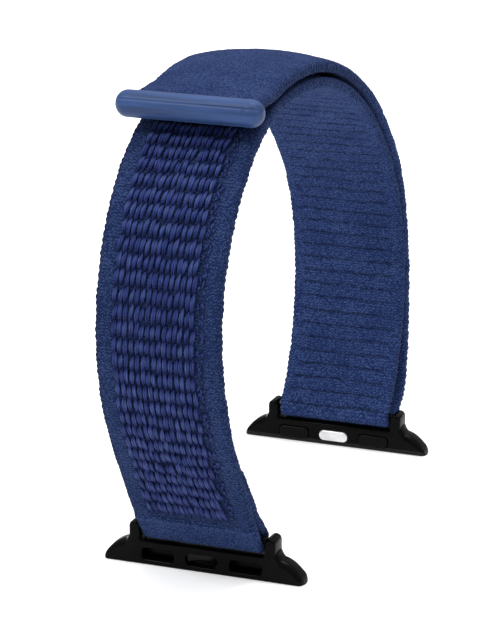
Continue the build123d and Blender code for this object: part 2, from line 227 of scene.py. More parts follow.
class Path:
    """Points and headings along a chain of arcs. A sweep is positive clockwise."""

    def __init__(self, point, heading):
        self.points = [np.array(point, float)]
        self.headings = [float(heading)]

    def arc(self, radius, sweep):
        length = abs(math.radians(sweep)) * radius
        count = max(2, math.ceil(length / STEP))
        start, heading = self.points[-1], self.headings[-1]
        side = math.copysign(1.0, sweep)
        centre = start - left_of(heading) * radius * side
        for i in range(1, count + 1):
            now = heading - sweep * i / count
            self.points.append(centre + left_of(now) * radius * side)
            self.headings.append(now)
        return self

    def straight(self, length):
        count = max(2, math.ceil(length / STEP))
        start = self.points[-1]
        for i in range(1, count + 1):
            self.points.append(start + toward(self.headings[-1]) * length * i / count)
            self.headings.append(self.headings[-1])
        return self

    def offset(self, distance):
        """The path's points moved to the left by a distance, or by a list of distances."""
        shift = np.broadcast_to(np.asarray(distance, float), (len(self.points),))
        return np.array(self.points) + left_of(self.headings) * shift[:, None]

    def lengths(self):
        steps = np.diff(np.array(self.points), axis=0)
        return np.concatenate([[0.0], np.cumsum(np.hypot(*steps.T))])


def band_face():
    """The band's wrist face, from the fixed pin over the crown to the slide bar."""
    path = Path(fixed_pin + left_of(START_HEADING) * PIN_NEAR, START_HEADING)
    path.straight(PRESS_L)
    for radius, sweep in [*FRONT_LEG, SHOULDER, REAR_CROWN, REAR_LEG]:
        path.arc(radius, sweep)
    return path


def round_pin(pin, angles):
    """Points of the webbing's middle round a pin, at these angles in degrees."""
    turn = np.radians(angles)
    return pin + PIN_MID * np.stack([np.cos(turn), np.sin(turn)], axis=-1)


def evened(points, values):
    """Resamples a line evenly, with the values along it, and softens its small corners."""
    steps = np.diff(points, axis=0)
    along = np.concatenate([[0.0], np.cumsum(np.hypot(*steps.T))])
    keep = np.concatenate([[True], np.diff(along) > 1e-6])
    along, points, values = along[keep], points[keep], values[keep]
    count = int(round(along[-1] / STEP))
    even = np.linspace(0, along[-1], count + 1)
    columns = [np.interp(even, along, c) for c in (*points.T, values)]
    reach = int(4 * SOFTEN)
    kernel = np.exp(-0.5 * (np.arange(-reach, reach + 1) / SOFTEN) ** 2)
    kernel /= kernel.sum()
    soft = []
    for column in columns:
        ends = (
            2 * column[0] - column[reach:0:-1],
            column,
            2 * column[-1] - column[-2:-reach - 2:-1],
        )
        soft.append(np.convolve(np.concatenate(ends), kernel, mode="valid"))
    line = np.stack(soft[:2], axis=-1)
    return line, np.array(soft[2]), even


face = band_face()
face_at = face.lengths()
LEG_L = PRESS_L + sum(math.radians(s) * r for r, s in FRONT_LEG)
CROWN_AT = LEG_L + math.radians(SHOULDER[1]) * SHOULDER[0]


def band_line():
    """Middle of the webbing from the welded tail, round the pin, over the crown to the bar."""
    tail_end = TAIL_L + TAIL_FEATHER
    tail = [i for i in range(len(face_at)) if WELD_FROM <= face_at[i] <= tail_end][::-1]
    full = np.clip((tail_end - face_at) / TAIL_FEATHER, 0, 1)
    tail_thick = TAIL_TIP_T + (PINCH_T - TAIL_TIP_T) * full
    tail_points = face.offset(TAIL_SINK - tail_thick / 2)[tail]
    ring_points = round_pin(fixed_pin, np.linspace(TAIL_HEADING - 90, START_HEADING - 270, 24))
    rise = np.clip(face_at / PRESS_L, 0, 1)
    fall = np.clip((face_at[-1] - face_at) / PINCH_RUN, 0, 1)
    thick = PINCH_T + (STRAP_T - PINCH_T) * np.minimum(rise, fall)
    leg_points = face.offset(thick / 2)
    arrive = face.headings[-1] + 270
    under_points = round_pin(slide_bar, np.linspace(arrive, BAR_UNDER, 16)[1:])
    points = np.concatenate([tail_points, ring_points, leg_points, under_points])
    values = np.concatenate([
        tail_thick[tail],
        np.full(len(ring_points), PINCH_T),
        thick,
        np.full(len(under_points), PINCH_T),
    ])
    line, thickness, along = evened(points, values)
    to_leg = int(np.argmin(np.hypot(*(line - leg_points[0]).T)))
    return line, thickness, along - along[to_leg]


def return_line():
    """Middle of the webbing from under the slide bar, up behind the rear leg, to the tab."""
    crown = Path(face.points[0], START_HEADING)
    crown.straight(PRESS_L)
    for radius, sweep in [*FRONT_LEG, SHOULDER]:
        crown.arc(radius, sweep)
    low = STRAP_T + LAYER_GAP
    top = Path(crown.points[-1], crown.headings[-1])
    top.arc(*REAR_CROWN)
    top.arc(REAR_LEG[0], top.headings[-1] - FREE_FROM)
    over_points = top.offset(low + STRAP_T / 2)
    hang = Path(top.points[-1] + left_of(top.headings[-1]) * low, top.headings[-1])
    hang.arc(*RETURN_LEG)
    hang.arc(*TURN_UP)
    turn_l = math.radians(TURN_PINCH) * TURN_UP[0]
    left = np.clip((hang.lengths()[-1] - hang.lengths()) / turn_l, 0, 1)
    hang_thick = PINCH_T + (STRAP_T - PINCH_T) * left
    hang_points = hang.offset(STRAP_T - hang_thick / 2)
    # the shoulder's arc is retraced, then the flap leaves it nearly straight
    lift = low + STRAP_T / 2
    shoulder_centre = crown.points[-1] - left_of(crown.headings[-1]) * SHOULDER[0]
    retrace = np.linspace(crown.headings[-1], FLAP_LEAVES, 12)[1:]
    back_points = shoulder_centre + left_of(retrace) * (SHOULDER[0] + lift)
    leave_face = shoulder_centre + left_of(FLAP_LEAVES) * (SHOULDER[0] + low)
    end_centre = leave_face - left_of(FLAP_LEAVES) * FLAP_END_R
    end_sweep = math.degrees((TAB_RUN - TAB_BITE) / FLAP_END_R)
    end = np.linspace(FLAP_LEAVES, FLAP_LEAVES + end_sweep, 40)[1:]
    end_points = end_centre + left_of(end) * (FLAP_END_R + STRAP_T / 2)
    under_points = round_pin(slide_bar, np.linspace(BAR_UNDER, 270.0, 4))
    points = np.concatenate([
        under_points, hang_points[::-1], over_points[::-1], back_points, end_points,
    ])
    values = np.concatenate([
        np.full(len(under_points), PINCH_T),
        hang_thick[::-1],
        np.full(len(over_points) + len(back_points) + len(end_points), STRAP_T),
    ])
    tab_sweep = math.degrees(TAB_RUN / FLAP_END_R)
    tab_heading = FLAP_LEAVES + tab_sweep
    tab_centre = end_centre + left_of(tab_heading) * (FLAP_END_R + STRAP_T / 2)
    return (*evened(points, values), tab_centre + left_of(tab_heading) * TAB_LIFT)


# ---- meshes
def smooth_noise(rng, count, spacing, total):
    """Values from -1 to 1 along a length, drawn at random every spacing and smoothed between."""
    knots = max(4, int(total / spacing) + 3)
    heights = np.array([rng.uniform(-1, 1) for _ in range(knots)])
    at = np.linspace(0, knots - 1.001, count)
    base = at.astype(int)
    part = at - base
    part = part * part * (3 - 2 * part)
    return heights[base] * (1 - part) + heights[np.minimum(base + 1, knots - 1)] * part


def in_scene(name, data):
    """A new object of this data, put in the scene."""
    made = bpy.data.objects.new(name, data)
    bpy.context.scene.collection.objects.link(made)
    return made


def mesh_object(name, verts, faces, attributes=None):
    """Smooth-shaded object from vertices in metres, with these vectors at its vertices."""
    mesh = bpy.data.meshes.new(name)
    mesh.from_pydata(verts, [], faces)
    for key, values in (attributes or {}).items():
        layer = mesh.attributes.new(key, "FLOAT_VECTOR", "POINT")
        layer.data.foreach_set("vector", np.asarray(values, np.float32).ravel())
    mesh.validate()
    mesh.polygons.foreach_set("use_smooth", [True] * len(mesh.polygons))
    mesh.update()
    return in_scene(name, mesh)


def normals_of(line):
    """Unit vectors a quarter turn anticlockwise from a line's tangents."""
    tangent = np.gradient(line, axis=0)
    tangent /= np.hypot(*tangent.T)[:, None]
    return np.stack([-tangent[:, 1], tangent[:, 0]], axis=-1)


def tube_faces(start, rings, around):
    """Faces of a tube with closed ends, whose rings of vertices begin at number start."""
    faces = []
    for i in range(rings - 1):
        a, b = start + i * around, start + (i + 1) * around
        for j in range(around):
            k = (j + 1) % around
            faces.append((a + j, a + k, b + k, b + j))
    faces.append(tuple(start + j for j in range(around - 1, -1, -1)))
    faces.append(tuple(start + (rings - 1) * around + j for j in range(around)))
    return faces


def strap_section():
    """Closed outline of a strap's section: x, and height in half thicknesses."""
    flat = STRAP_W / 2 - EDGE_X
    half = [(x, 1.0) for x in np.linspace(-flat, flat, ACROSS + 1)]
    for turn in EDGE_TURN:
        angle = math.radians(turn)
        half.append((flat + EDGE_X * math.cos(angle), math.sin(angle)))
    return np.array(half + [(-x, -height) for x, height in half])


def groove(distance, width):
    """1 at no distance, falling smoothly to 0 over about twice the width."""
    return np.exp(-((distance / width) ** 2))


def lumps(s, x, spacing, seed):
    """Smooth random bumps from -1 to 1 over a surface, one every spacing each way."""
    rng = random.Random(seed)
    side = 64
    heights = np.array([rng.uniform(-1, 1) for _ in range(side * side)]).reshape(side, side)
    u, v = s / spacing, x / spacing
    iu, iv = np.floor(u).astype(int), np.floor(v).astype(int)
    fu, fv = u - iu, v - iv
    fu, fv = fu * fu * (3 - 2 * fu), fv * fv * (3 - 2 * fv)
    corners = [heights[(iu + a) % side, (iv + b) % side] for a in (0, 1) for b in (0, 1)]
    low = corners[0] * (1 - fv) + corners[1] * fv
    high = corners[2] * (1 - fv) + corners[3] * fv
    return low * (1 - fu) + high * fu


def strap_mesh(name, line, thickness, along, seed, relief):
    """Sweeps the section along a line. relief(s, x, side) gives added height and a tone."""
    rng = random.Random(seed)
    section = strap_section()
    count, across = len(line), len(section)
    normal = normals_of(line)
    x = np.tile(section[:, 0], (count, 1))
    side = np.tile(section[:, 1], (count, 1))
    s = np.tile(along[:, None], (1, across))
    edge = np.clip((np.abs(x) - (STRAP_W / 2 - SELVEDGE_W)) / SELVEDGE_W, 0, 1)
    phase = math.pi * s / KNOT_PITCH + (x > 0) * 1.1 + 0.75 * side + lumps(s, x * 0, 3.0, seed + 5)
    knot = np.abs(np.sin(phase)) ** 0.8
    waver = KNOT_OUT * (knot - KNOT_MEAN)
    for depth, spacing in (SIDE_WANDER, SIDE_DRIFT):
        waver = waver + depth * smooth_noise(rng, count, spacing, along[-1] - along[0])[:, None]
    raised, tone = relief(s, x, side)
    grain = sum(tall * lumps(s, x, wide, seed + i) for i, (tall, wide) in enumerate(GRAIN, 1))
    raised = raised + grain * side + edge**2 * KNOT_H * (knot - KNOT_MEAN) * np.sign(side)
    out_x = x + np.sign(x) * edge**2 * waver
    height = side * thickness[:, None] / 2 + raised
    y = line[:, 0][:, None] + normal[:, 0][:, None] * height
    z = line[:, 1][:, None] + normal[:, 1][:, None] * height
    verts = (np.stack([out_x, y, z], axis=-1) * MM).reshape(-1, 3)
    faces = tube_faces(0, count, across)
    # painted shade: the selvedge is painted darker in the pits between its knots
    tone = tone * (1 - 0.2 * edge * (1 - knot))
    steps = np.hypot(np.diff(section[:, 0]), np.diff(section[:, 1]) * STRAP_T / 2)
    around = np.concatenate([[0.0], np.cumsum(steps)]) + section[0, 0]
    # the weave's third value is the tone, with its painted shade and painted highlight
    weave = np.stack([np.tile(around, (count, 1)), s, tone], axis=-1).reshape(-1, 3)
    return mesh_object(name, verts.tolist(), faces, {"weave": weave})


def ribs(s, x, seed):
    """Broken wavy grooves across the strap, one to each row of pile: 1 in a groove, 0 off it."""
    row = np.floor(s / RIB_PITCH + 0.5)
    bow = 0.16 * lumps(row * 1.37, x, 3.1, seed) + 0.13 * lumps(row * 2.11, x, 0.8, seed + 1)
    near = s - row * RIB_PITCH - bow
    inside = np.clip((STRAP_W / 2 - RIB_MARGIN - np.abs(x)) / RIB_FADE, 0, 1)
    broken = np.clip(0.86 + 0.7 * lumps(row * 3.1, x, 1.0, seed + 4), 0.25, 1)
    return groove(near, RIB_W) * inside * broken


def band_relief(s, x, side):
    """Pressed end and its ridge, the bed that the pile stands in, and ribs on the wrist face. The ridge is
    painted lighter as a painted highlight, and the bed and the ribs' grooves are painted darker as painted
    shade.
    """
    outer = np.clip(side, 0, 1)
    inner = np.clip(-side, 0, 1)
    left = PILE_SIDES[0]
    bed_side = np.clip((x - left + 0.25) / 0.4, 0, 1) * np.clip((RAGGED_TO + 0.1 - x) / 0.5, 0, 1)
    bed = np.clip((s - PRESS_L - RIDGE_W) / RIDGE_W, 0, 1) * bed_side * outer
    ridge = groove(s - (PRESS_L + 0.1), RIDGE_W) * outer
    grooves = ribs(s, x, 2) * inner * np.clip(s - RIBS_FROM, 0, 1)
    raised = RIDGE_H * ridge - BED_DEPTH * bed + RIB_DEPTH * grooves
    pressed = np.clip((PRESS_L - s) / RIDGE_W, 0, 1) * outer
    # the wrist face and the pressed end are a lighter tone; the ridge's extra lightness is a painted
    # highlight
    face_tone = 0.86 + 0.34 * inner + 0.22 * pressed + 0.3 * ridge
    # painted shade in the pile's bed and in the rib grooves
    tone = face_tone * (1 - 0.22 * bed) * (1 - 0.64 * grooves)
    return raised, tone


def return_relief(s, x, side):
    """The flap bows over the pile below it, and the ribs show where the strap hangs behind; the ribs'
    grooves are painted darker as painted shade.
    """
    end = return_along[-1] - s
    crowned = np.clip((BOW_FROM - end) / BOW_RUN, 0, 1)
    crowned = crowned * crowned * (3 - 2 * crowned)
    at_tab = np.clip(1 - (end - 2) / 6, 0, 1)
    edge_lift = FLAP_LIFT[0] + (TAB_LIFT - FLAP_LIFT[0]) * at_tab
    middle_lift = FLAP_LIFT[1] + (TAB_LIFT - FLAP_LIFT[1]) * at_tab
    bow = edge_lift + (middle_lift - edge_lift) * (1 - (x / (STRAP_W / 2)) ** 2)
    outer = np.clip(-side, 0, 1)
    grooves = ribs(s, x, 7) * outer * np.clip((end - BOW_FROM - 4) / 8, 0.12, 0.6)
    raised = -bow * crowned + RIB_DEPTH * grooves
    hanging = np.clip((end - BOW_FROM + 14) / 14, 0, 1)
    # painted shade in the rib grooves
    tone = (0.75 + 0.25 * outer + 0.45 * hanging) * (1 - 0.5 * grooves)
    return raised, tone


band_mid, band_thick, band_along = band_line()
band_normals = normals_of(band_mid)
return_mid, return_thick, return_along, tab_centre = return_line()


# ---- loop pile
def pile_frames(at):
    """Points and outward normals of the band's outer face at these lengths."""
    columns = (*band_mid.T, *band_normals.T)
    y, z, normal_y, normal_z = (np.interp(at, band_along, c) for c in columns)
    half = np.interp(at, band_along, band_thick) / 2
    normal = np.stack([normal_y, normal_z], axis=-1)
    ground = np.stack([y, z], axis=-1) + normal * half[..., None]
    return ground, normal


class LoopField:
    """Collects yarn strands standing on the band's outer face into one mesh."""

    def __init__(self, rings, sides):
        self.verts, self.faces, self.marks = [], [], []
        self.v = np.linspace(0, 1, rings)
        self.rise = np.sin(math.pi * self.v**1.3)
        self.angles = np.arange(sides) * 2 * math.pi / sides

    def strand(self, x0, s0, length, lean, bow, wide, tall, tint):
        """One arched strand, thin where it dives into the weave and fullest at its middle."""
        v, rise = self.v, self.rise
        s = s0 + (v - 0.5) * length
        ground, normal = pile_frames(s)
        x = x0 + lean * (v - 0.5) + bow * rise
        half = np.maximum(0.5 * wide * rise**0.8, 0.04)
        height = (tall - half.max()) * rise**0.5 - ROOT_DEPTH
        start = len(self.verts)
        for i in range(len(v)):
            for angle in self.angles:
                up = height[i] + half[i] * 0.9 * math.sin(angle)
                point = ground[i] + normal[i] * up
                self.verts.append(((x[i] + half[i] * math.cos(angle)) * MM, point[0] * MM, point[1] * MM))
                self.marks.append((0.5 * math.cos(angle), v[i], tint))
        self.faces += tube_faces(start, len(v), len(self.angles))


def pile_mesh(name, first, last, seed, strands=2, rings=9, sides=6):
    """Rows of leaning loops between two lengths along the band's outer face."""
    rng = random.Random(seed)
    field = LoopField(rings, sides)
    left, right = PILE_SIDES
    columns = round((right - left) / LOOP_PITCH)
    for row in range(math.ceil((first - 0.5) / RIB_PITCH), math.floor((last - 0.8) / RIB_PITCH)):
        middle = (row + 0.5) * RIB_PITCH
        low_part = float(np.clip((LOW_PART[1] - middle) / (LOW_PART[1] - LOW_PART[0]), 0, 1))
        for column in range(columns):
            x0 = left + (column + 0.5) * LOOP_PITCH + (row % 2 - 0.5) * 0.5 * LOOP_PITCH * low_part
            x0 += rng.uniform(-0.1, 0.1)
            length = (LOOP_L[0] + LOOP_L[1] * low_part) * rng.uniform(0.86, 1.12)
            lean = LOOP_LEAN[0] + LOOP_LEAN[1] * low_part + rng.uniform(-0.18, 0.18)
            tall = PILE_H * rng.uniform(0.8, 1.12)
            s0 = middle + rng.uniform(-0.22, 0.22)
            s0 = max(s0, first + length * 0.42)
            tint = rng.random()
            for strand in range(strands):
                part = strand - (strands - 1) / 2
                field.strand(
                    x0=x0 + part * 0.2,
                    s0=s0 + part * rng.uniform(-0.1, 0.35),
                    length=length * rng.uniform(0.9, 1.05),
                    lean=lean + rng.uniform(-0.06, 0.06),
                    bow=part * rng.uniform(0.06, 0.16),
                    wide=rng.uniform(0.4, 0.5) * (1.0 if strands > 1 else 1.4),
                    tall=tall + rng.uniform(-0.06, 0.06),
                    tint=tint + rng.uniform(-0.12, 0.12),
                )
        for _ in range(RAGGED_LOOPS if strands > 1 else 1):
            field.strand(
                x0=rng.uniform(right + 0.1, RAGGED_TO - 0.2),
                s0=max(middle + rng.uniform(-1.1, 1.1), first + 0.8),
                length=rng.uniform(0.8, 1.5),
                lean=rng.uniform(-0.5, 0.6),
                bow=rng.uniform(-0.15, 0.15),
                wide=rng.uniform(0.25, 0.36),
                tall=rng.uniform(0.28, 0.42),
                tint=rng.uniform(0.0, 0.6),
            )
    return mesh_object(name, field.verts, field.faces, {"loop": field.marks})


def hook_mesh():
    """Field of fine mushroom hooks welded under the free end of the flap."""
    normal = normals_of(return_mid)
    total = return_along[-1]
    root_s = return_along[np.argmin(np.hypot(*(return_mid - joint_yz("flap_peel")).T))]
    verts, faces = [], []
    sides = 5
    for s in np.arange(root_s + HOOK_START, total - HOOK_END, HOOK_PITCH):
        point = [np.interp(s, return_along, c) for c in return_mid.T]
        way = [np.interp(s, return_along, c) for c in normal.T]
        for x in np.arange(-HOOK_W / 2, HOOK_W / 2, HOOK_PITCH):
            raised, _ = return_relief(np.array(s), np.array(x), np.array(1.0))
            start = len(verts)
            for radius, up in HOOK_PROFILE:
                rise = STRAP_T / 2 + float(raised) + up
                for j in range(sides):
                    angle = 2 * math.pi * j / sides
                    along = radius * math.sin(angle)
                    verts.append((
                        (x + radius * math.cos(angle)) * MM,
                        (point[0] + way[0] * rise - way[1] * along) * MM,
                        (point[1] + way[1] * rise + way[0] * along) * MM,
                    ))
            faces += tube_faces(start, len(HOOK_PROFILE), sides)
    piece = mesh_object("flap_hooks", verts, faces)
    outward_faces(piece)
    return piece


# ---- materials
def new_material(name):
    """A material with its node tree and its main shader."""
    material = bpy.data.materials.new(name)
    material.use_nodes = True
    tree = material.node_tree
    shader = tree.nodes["Principled BSDF"]
    return material, tree, shader


def node(tree, kind, **settings):
    made = tree.nodes.new(kind)
    for key, value in settings.items():
        setattr(made, key, value)
    return made


def math_node(tree, operation, a, b=None):
    """Output of a math node whose inputs are numbers or sockets."""
    made = node(tree, "ShaderNodeMath", operation=operation)
    for i, value in enumerate((a, b)):
        if value is None:
            continue
        if isinstance(value, (int, float)):
            made.inputs[i].default_value = value
        else:
            tree.links.new(value, made.inputs[i])
    return made.outputs[0]


def noise_node(tree, vector, scale, detail=2.0, roughness=0.55, stretch=(1, 1, 1)):
    """Output of a noise texture over a vector that is stretched first."""
    mapping = node(tree, "ShaderNodeMapping")
    mapping.inputs["Scale"].default_value = stretch
    tree.links.new(vector, mapping.inputs["Vector"])
    made = node(tree, "ShaderNodeTexNoise")
    made.inputs["Scale"].default_value = scale
    made.inputs["Detail"].default_value = detail
    made.inputs["Roughness"].default_value = roughness
    tree.links.new(mapping.outputs["Vector"], made.inputs["Vector"])
    return made.outputs["Fac"]


def ramp(tree, value, stops):
    """Output of a colour ramp with these (place, colour) stops."""
    made = node(tree, "ShaderNodeValToRGB")
    elements = made.color_ramp.elements
    while len(elements) < len(stops):
        elements.new(0.5)
    for element, (place, colour) in zip(elements, stops):
        element.position = place
        element.color = (*colour, 1)
    tree.links.new(value, made.inputs["Fac"])
    return made.outputs["Color"]


def bump(tree, height, strength, distance, shader):
    made = node(tree, "ShaderNodeBump")
    made.inputs["Strength"].default_value = strength
    made.inputs["Distance"].default_value = distance
    tree.links.new(height, made.inputs["Height"])
    tree.links.new(made.outputs["Normal"], shader.inputs["Normal"])


def add_up(tree, *terms):
    """Sum of output sockets, each given with its own weight."""
    total = None
    for socket, weight in terms:
        term = math_node(tree, "MULTIPLY", socket, weight)
        total = term if total is None else math_node(tree, "ADD", total, term)
    return total


def knit_node(tree, vector, scale, stretch):
    """Rounded stitches, 1 at a stitch's middle and 0 in the pits between stitches."""
    mapping = node(tree, "ShaderNodeMapping")
    mapping.inputs["Scale"].default_value = stretch
    tree.links.new(vector, mapping.inputs["Vector"])
    cells = node(tree, "ShaderNodeTexVoronoi", feature="SMOOTH_F1")
    cells.inputs["Scale"].default_value = scale
    cells.inputs["Smoothness"].default_value = 0.35
    tree.links.new(mapping.outputs["Vector"], cells.inputs["Vector"])
    return math_node(tree, "SUBTRACT", 1.0, cells.outputs["Distance"])


def webbing_material(name, dark, mid, light):
    """Crinkled knit of heathered yarn, laid out in millimetres along and across the strap; the pits
    between stitches and crinkles are painted darker as painted shade.
    """
    material, tree, shader = new_material(name)
    place = node(tree, "ShaderNodeAttribute", attribute_name="weave")
    split = node(tree, "ShaderNodeSeparateXYZ")
    tree.links.new(place.outputs["Vector"], split.inputs[0])
    flat = node(tree, "ShaderNodeCombineXYZ")
    tree.links.new(split.outputs["X"], flat.inputs["X"])
    tree.links.new(split.outputs["Y"], flat.inputs["Y"])
    flat_at = flat.outputs["Vector"]
    stitches = knit_node(tree, flat_at, STITCH_SCALE, (0.9, 1.1, 1))
    crinkle = noise_node(tree, flat_at, CRINKLE_SCALE, 4.0, 0.65, (0.85, 1.2, 1))
    fibre = noise_node(tree, flat_at, 6.5, 2.0, 0.6, (1.0, 0.6, 1))
    cloud = noise_node(tree, flat_at, 0.16, 2.0, 0.5)
    zigzag = math_node(tree, "PINGPONG", split.outputs["X"], TWILL_W)
    climb = add_up(tree, (split.outputs["Y"], 2 * math.pi / TWILL_PITCH), (zigzag, 2 * math.pi * 1.3))
    twill = math_node(tree, "SINE", climb)
    height = add_up(tree, (stitches, 0.5), (crinkle, 0.6), (fibre, 0.16), (twill, 0.13))
    # stitches and crinkles lighten the colour where they stand high, so their pits are painted darker as
    # painted shade; fibre, cloud and twill are the yarn's own tone
    tone = add_up(tree, (stitches, 0.5), (crinkle, 0.62), (fibre, 0.5), (cloud, 0.22), (twill, 0.07))
    spread = math_node(tree, "SUBTRACT", tone, 0.47)
    colour = ramp(tree, spread, [(0.365, dark), (0.5, mid), (0.645, light)])
    shade = node(tree, "ShaderNodeVectorMath", operation="SCALE")
    tree.links.new(colour, shade.inputs[0])
    tree.links.new(split.outputs["Z"], shade.inputs["Scale"])
    tree.links.new(shade.outputs["Vector"], shader.inputs["Base Color"])
    shader.inputs["Roughness"].default_value = 0.85
    shader.inputs["Specular IOR Level"].default_value = 0.06
    shader.inputs["Sheen Weight"].default_value = 0.06
    shader.inputs["Sheen Roughness"].default_value = 0.4
    shader.inputs["Sheen Tint"].default_value = (0.3, 0.42, 0.9, 1)
    bump(tree, height, 1.0, 0.00022, shader)
    return material


def pile_material():
    """Filament yarn: streaks along each loop, a tint of its own, and painted light: each loop is painted
    lighter towards its fat part as a painted highlight, and darker at its ends where it dives into the
    weave, as painted shade.
    """
    material, tree, shader = new_material("loop_yarn")
    place = node(tree, "ShaderNodeAttribute", attribute_name="loop")
    split = node(tree, "ShaderNodeSeparateXYZ")
    tree.links.new(place.outputs["Vector"], split.inputs[0])
    streak = noise_node(tree, place.outputs["Vector"], 2.6, 2.0, 0.65, (1.7, 0.5, 37.0))
    fat_end = math_node(tree, "POWER", split.outputs["Y"], 1.5)
    # painted highlight at each loop's fat part, fading to painted shade at both its ends
    painted_loop_light = math_node(tree, "SINE", math_node(tree, "MULTIPLY", fat_end, math.pi))
    tone = add_up(tree, (streak, 1.25), (painted_loop_light, 0.42), (split.outputs["Z"], 0.2))
    spread = math_node(tree, "SUBTRACT", tone, 0.56)
    dark, mid, light = (0.0055, 0.011, 0.065), (0.0148, 0.0265, 0.124), (0.054, 0.083, 0.215)
    colour = ramp(tree, spread, [(0.1, dark), (0.5, mid), (0.88, light)])
    tree.links.new(colour, shader.inputs["Base Color"])
    shader.inputs["Roughness"].default_value = 0.55
    shader.inputs["Specular IOR Level"].default_value = 0.1
    shader.inputs["Sheen Weight"].default_value = 0.05
    shader.inputs["Sheen Tint"].default_value = (0.4, 0.45, 1, 1)
    bump(tree, streak, 1.0, 0.00017, shader)
    return material


def plastic_material(
    name, colour, roughness, specular=0.5, grain=0.00001, scale=9000.0, streak=(1, 1, 1), tones=(0.8, 1.14)
):
    """Smooth material with a fine grain, and a cloudy noise that varies its tone and gloss as worn spots
    do; stretched into lengthwise streaks, as on the tab, it paints streaks of reflection.
    """
    material, tree, shader = new_material(name)
    place = node(tree, "ShaderNodeTexCoord")
    fine = noise_node(tree, place.outputs["Object"], scale, 3.0)
    wear_and_sheen = noise_node(tree, place.outputs["Object"], WEAR_AND_SHEEN_SCALE, 3.0, stretch=streak)
    dark, light = ([min(c * tone, 1) for c in colour] for tone in tones)
    shade = ramp(tree, wear_and_sheen, [(0.3, dark), (0.72, light)])
    tree.links.new(shade, shader.inputs["Base Color"])
    rough = math_node(tree, "MULTIPLY_ADD", wear_and_sheen, GLOSS_SPREAD)
    tree.nodes[-1].inputs[2].default_value = roughness - GLOSS_SPREAD / 2
    tree.links.new(rough, shader.inputs["Roughness"])
    shader.inputs["Specular IOR Level"].default_value = specular
    bump(tree, fine, 0.35, grain, shader)
    return material


def hook_material():
    """Dark nylon that lets a little light through."""
    material = plastic_material("hook_nylon", (0.008, 0.012, 0.045), 0.45, 0.3)
    material.node_tree.nodes["Principled BSDF"].inputs["Transmission Weight"].default_value = 0.1
    return material


def metal_material(name, colour, roughness):
    material = plastic_material(name, colour, roughness, 0.5, 0.000006, 14000.0)
    material.node_tree.nodes["Principled BSDF"].inputs["Metallic"].default_value = 1.0
    return material


woven = webbing_material(
    "woven_nylon", dark=(0.0075, 0.016, 0.063), mid=(0.0175, 0.034, 0.104), light=(0.038, 0.065, 0.16)
)
yarn = pile_material()
# the tab's noise is stretched into lengthwise streaks over a wide range of tones: painted streaks of
# reflection along the capsule, over its own tone
tab_plastic = plastic_material(
    "tab_plastic", (0.0262, 0.056, 0.156), 0.44, 0.18,
    grain=0.000004, scale=5000.0, streak=(0.12, 2.2, 2.2), tones=(0.55, 1.32),
)
black_paint = plastic_material("black_paint", (0.0012, 0.0012, 0.0013), 0.25, 0.055)
# the skid's slope: glossier than the black paint, and painted lighter as a painted highlight along the lit
# chamfer
chamfer_highlight_paint = plastic_material("chamfer_highlight_paint", (0.005, 0.005, 0.0052), 0.3, 0.13)
black_rubber = plastic_material("black_rubber", (0.0018, 0.0018, 0.002), 0.26, 0.06)
silver = metal_material("silver_button", (0.78, 0.78, 0.79), 0.35)
# painted very dark, as painted shade for the pins seen in the gaps at the ears
steel = metal_material("pin_steel", (0.05, 0.048, 0.046), 0.3)
# painted nearly black, as painted shade for the spring inside the lug's middle pocket
shaded_spring_steel = metal_material("spring_steel", (0.02, 0.02, 0.021), 0.22)


def dress(piece, materials, cad, body):
    """Gives a piece its materials, hides the CAD node that it goes with, and puts it on its body."""
    for material in materials:
        piece.data.materials.append(material)
    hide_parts(cad)
    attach(piece, body)


def finish_node(name, material):
    """Gives a CAD node that stays in view its finish."""
    slots = frame["nodes"][name].data.materials
    slots.clear()
    slots.append(material)


# ---- lugs
def rounded_slot(length, height, radius, steps=8):
    """Outline of a rectangle with round corners, centred on the origin."""
    points = []
    for cx, cz, first in ((1, 1, 0), (-1, 1, 90), (-1, -1, 180), (1, -1, 270)):
        for i in range(steps + 1):
            angle = math.radians(first + 90 * i / steps)
            points.append((
                cx * (length / 2 - radius) + radius * math.cos(angle),
                cz * (height / 2 - radius) + radius * math.sin(angle),
            ))
    return points


def rail_outline():
    """The lug's rail, which runs on a little inside the wings."""
    end = EAR_OUT + RAIL_PAST_EAR
    half = [(end, 0.0), (end, 1.5), (EAR_OUT, 3.1), (EAR_OUT - 0.5, RAIL_H)]
    return half + [(-x, z) for x, z in half[::-1]]


def ear_outline(side):
    """One ear, with its foot inside the rail and a small fillet at the strap's slot."""
    ear_r = (EAR_OUT - EAR_IN) / 2
    ear_mid = (EAR_OUT + EAR_IN) / 2
    turns = [math.pi * i / EAR_STEPS for i in range(EAR_STEPS + 1)]
    outline = [(EAR_OUT, RAIL_H - 1.0)]
    outline += [(ear_mid + ear_r * math.cos(a), EAR_TOP - ear_r + ear_r * math.sin(a)) for a in turns]
    outline += [(EAR_IN, RAIL_H + 0.3), (EAR_IN - 0.3, RAIL_H), (EAR_IN - 0.3, RAIL_H - 1.0)]
    return [(side * x, z) for x, z in outline]


def wing_height(x):
    """Top of the wing: it sweeps down from the ear and ends in a low round tip."""
    tip = LUG_L / 2
    run = tip - EAR_OUT
    past_ear = max(0.0, (x - EAR_OUT) / run)
    hull = WING_H * max(1 - past_ear**2, 0.0) ** WING_SHARP
    rise, reach = WING_UP_EAR
    up_ear = rise * max(0.0, 1 - max(x - EAR_OUT, 0.0) / reach) ** 2
    return max(hull, TIP_H) + up_ear


